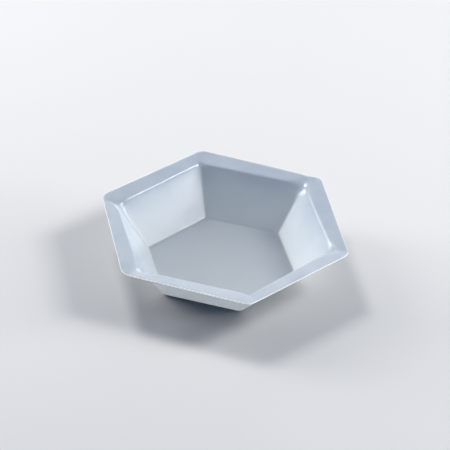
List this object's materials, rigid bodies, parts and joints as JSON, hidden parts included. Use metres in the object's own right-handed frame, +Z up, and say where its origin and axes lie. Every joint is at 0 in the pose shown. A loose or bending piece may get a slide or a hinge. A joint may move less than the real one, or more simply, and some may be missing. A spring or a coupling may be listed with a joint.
{
  "type": "hexagonal weighing boat",
  "caption": "Shallow six-sided weighing dish drawn from thin milky plastic sheet, with sloping walls, a flat floor and a narrow rim that rises slightly outwards.",
  "frame": {"origin": "on the bench under the centre of the trimmed rim, in the plane that the flat underside stands on", "axes": "+Z up out of the dish, +X towards one corner of the rim, +Y towards the middle of one straight side of the rim"},
  "size_m": [0.0926, 0.0816, 0.0179],
  "materials": {
    "sheet": "milky, slightly see-through, soft satin gloss"
  },
  "bodies": {
    "root": {"dish": "sheet"}
  },
  "joints": []
}
